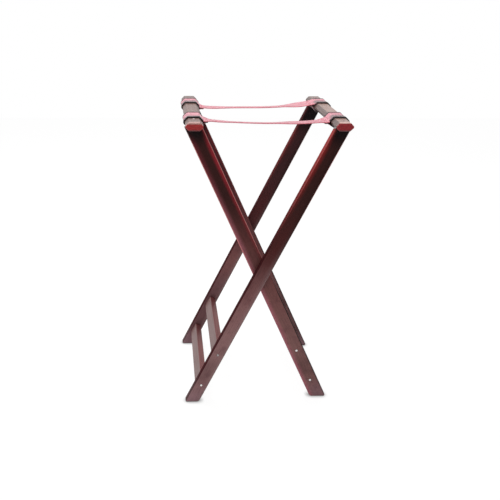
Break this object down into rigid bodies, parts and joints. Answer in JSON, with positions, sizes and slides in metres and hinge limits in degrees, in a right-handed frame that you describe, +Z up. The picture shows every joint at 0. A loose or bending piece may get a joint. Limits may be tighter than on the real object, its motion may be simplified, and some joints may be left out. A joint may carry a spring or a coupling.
{
  "type": "folding tray stand",
  "caption": "Folding wooden tray stand: crossed outer and inner frames on a pivot, flat top rails, low stretchers and webbing straps that stop the spread.",
  "frame": {"origin": "on the floor, under the middle of the open stand", "axes": "+Z up, +X across the spread towards the outer frame's rail, +Y along the rails towards the rear"},
  "size_m": [0.4116, 0.4, 0.7953],
  "materials": {
    "leg_wood": "dark red mahogany stain, satin lacquer",
    "rail_wood": "mahogany stain worn lighter on top, satin lacquer",
    "webbing": "rose red woven webbing with dark edges",
    "bright_screw": "bright zinc plate",
    "zinc_steel": "zinc plate",
    "brass": "turned brass"
  },
  "bodies": {
    "outer_frame": {"outer_front_leg": "leg_wood", "outer_front_strap_loop": "webbing", "outer_lower_stretcher": "leg_wood", "outer_rail_screws": "bright_screw", "outer_rear_leg": "leg_wood", "outer_rear_strap_loop": "webbing", "outer_stretcher_screws": "bright_screw", "outer_top_rail": "rail_wood", "outer_upper_stretcher": "leg_wood", "pivot_bolts": "zinc_steel", "pivot_head_washers": "zinc_steel", "pivot_inserts": "brass", "pivot_spacers": "zinc_steel"},
    "inner_frame": {"inner_front_leg": "leg_wood", "inner_front_strap_loop": "webbing", "inner_lower_stretcher": "leg_wood", "inner_rail_screws": "bright_screw", "inner_rear_leg": "leg_wood", "inner_rear_strap_loop": "webbing", "inner_stretcher_screws": "bright_screw", "inner_top_rail": "rail_wood", "inner_upper_stretcher": "leg_wood"},
    "outer_strap": {"outer_front_strap_span": "webbing", "outer_rear_strap_span": "webbing"},
    "inner_strap": {"inner_front_strap_span": "webbing", "inner_rear_strap_span": "webbing"}
  },
  "joints": [
    {"name": "fold", "type": "hinge", "parent": "outer_frame", "child": "inner_frame", "pos_m": [0, 0, 0.38463], "axis": [0, 1, 0], "range_deg": [0, 41], "deforming": ["outer_front_strap_span", "outer_rear_strap_span", "inner_front_strap_span", "inner_rear_strap_span"]},
    {"name": "outer_strap_drop", "type": "hinge", "parent": "outer_frame", "child": "outer_strap", "pos_m": [0.1582, 0, 0.783], "axis": [0, -1, 0], "range_deg": [0, 63.2]},
    {"name": "inner_strap_drop", "type": "hinge", "parent": "inner_frame", "child": "inner_strap", "pos_m": [-0.1582, 0, 0.783], "axis": [0, 1, 0], "range_deg": [0, 63.2]}
  ],
  "couplings": [
    {"joint": "outer_strap_drop", "follows": "fold", "ratio": 1.539},
    {"joint": "inner_strap_drop", "follows": "fold", "ratio": 1.539}
  ]
}
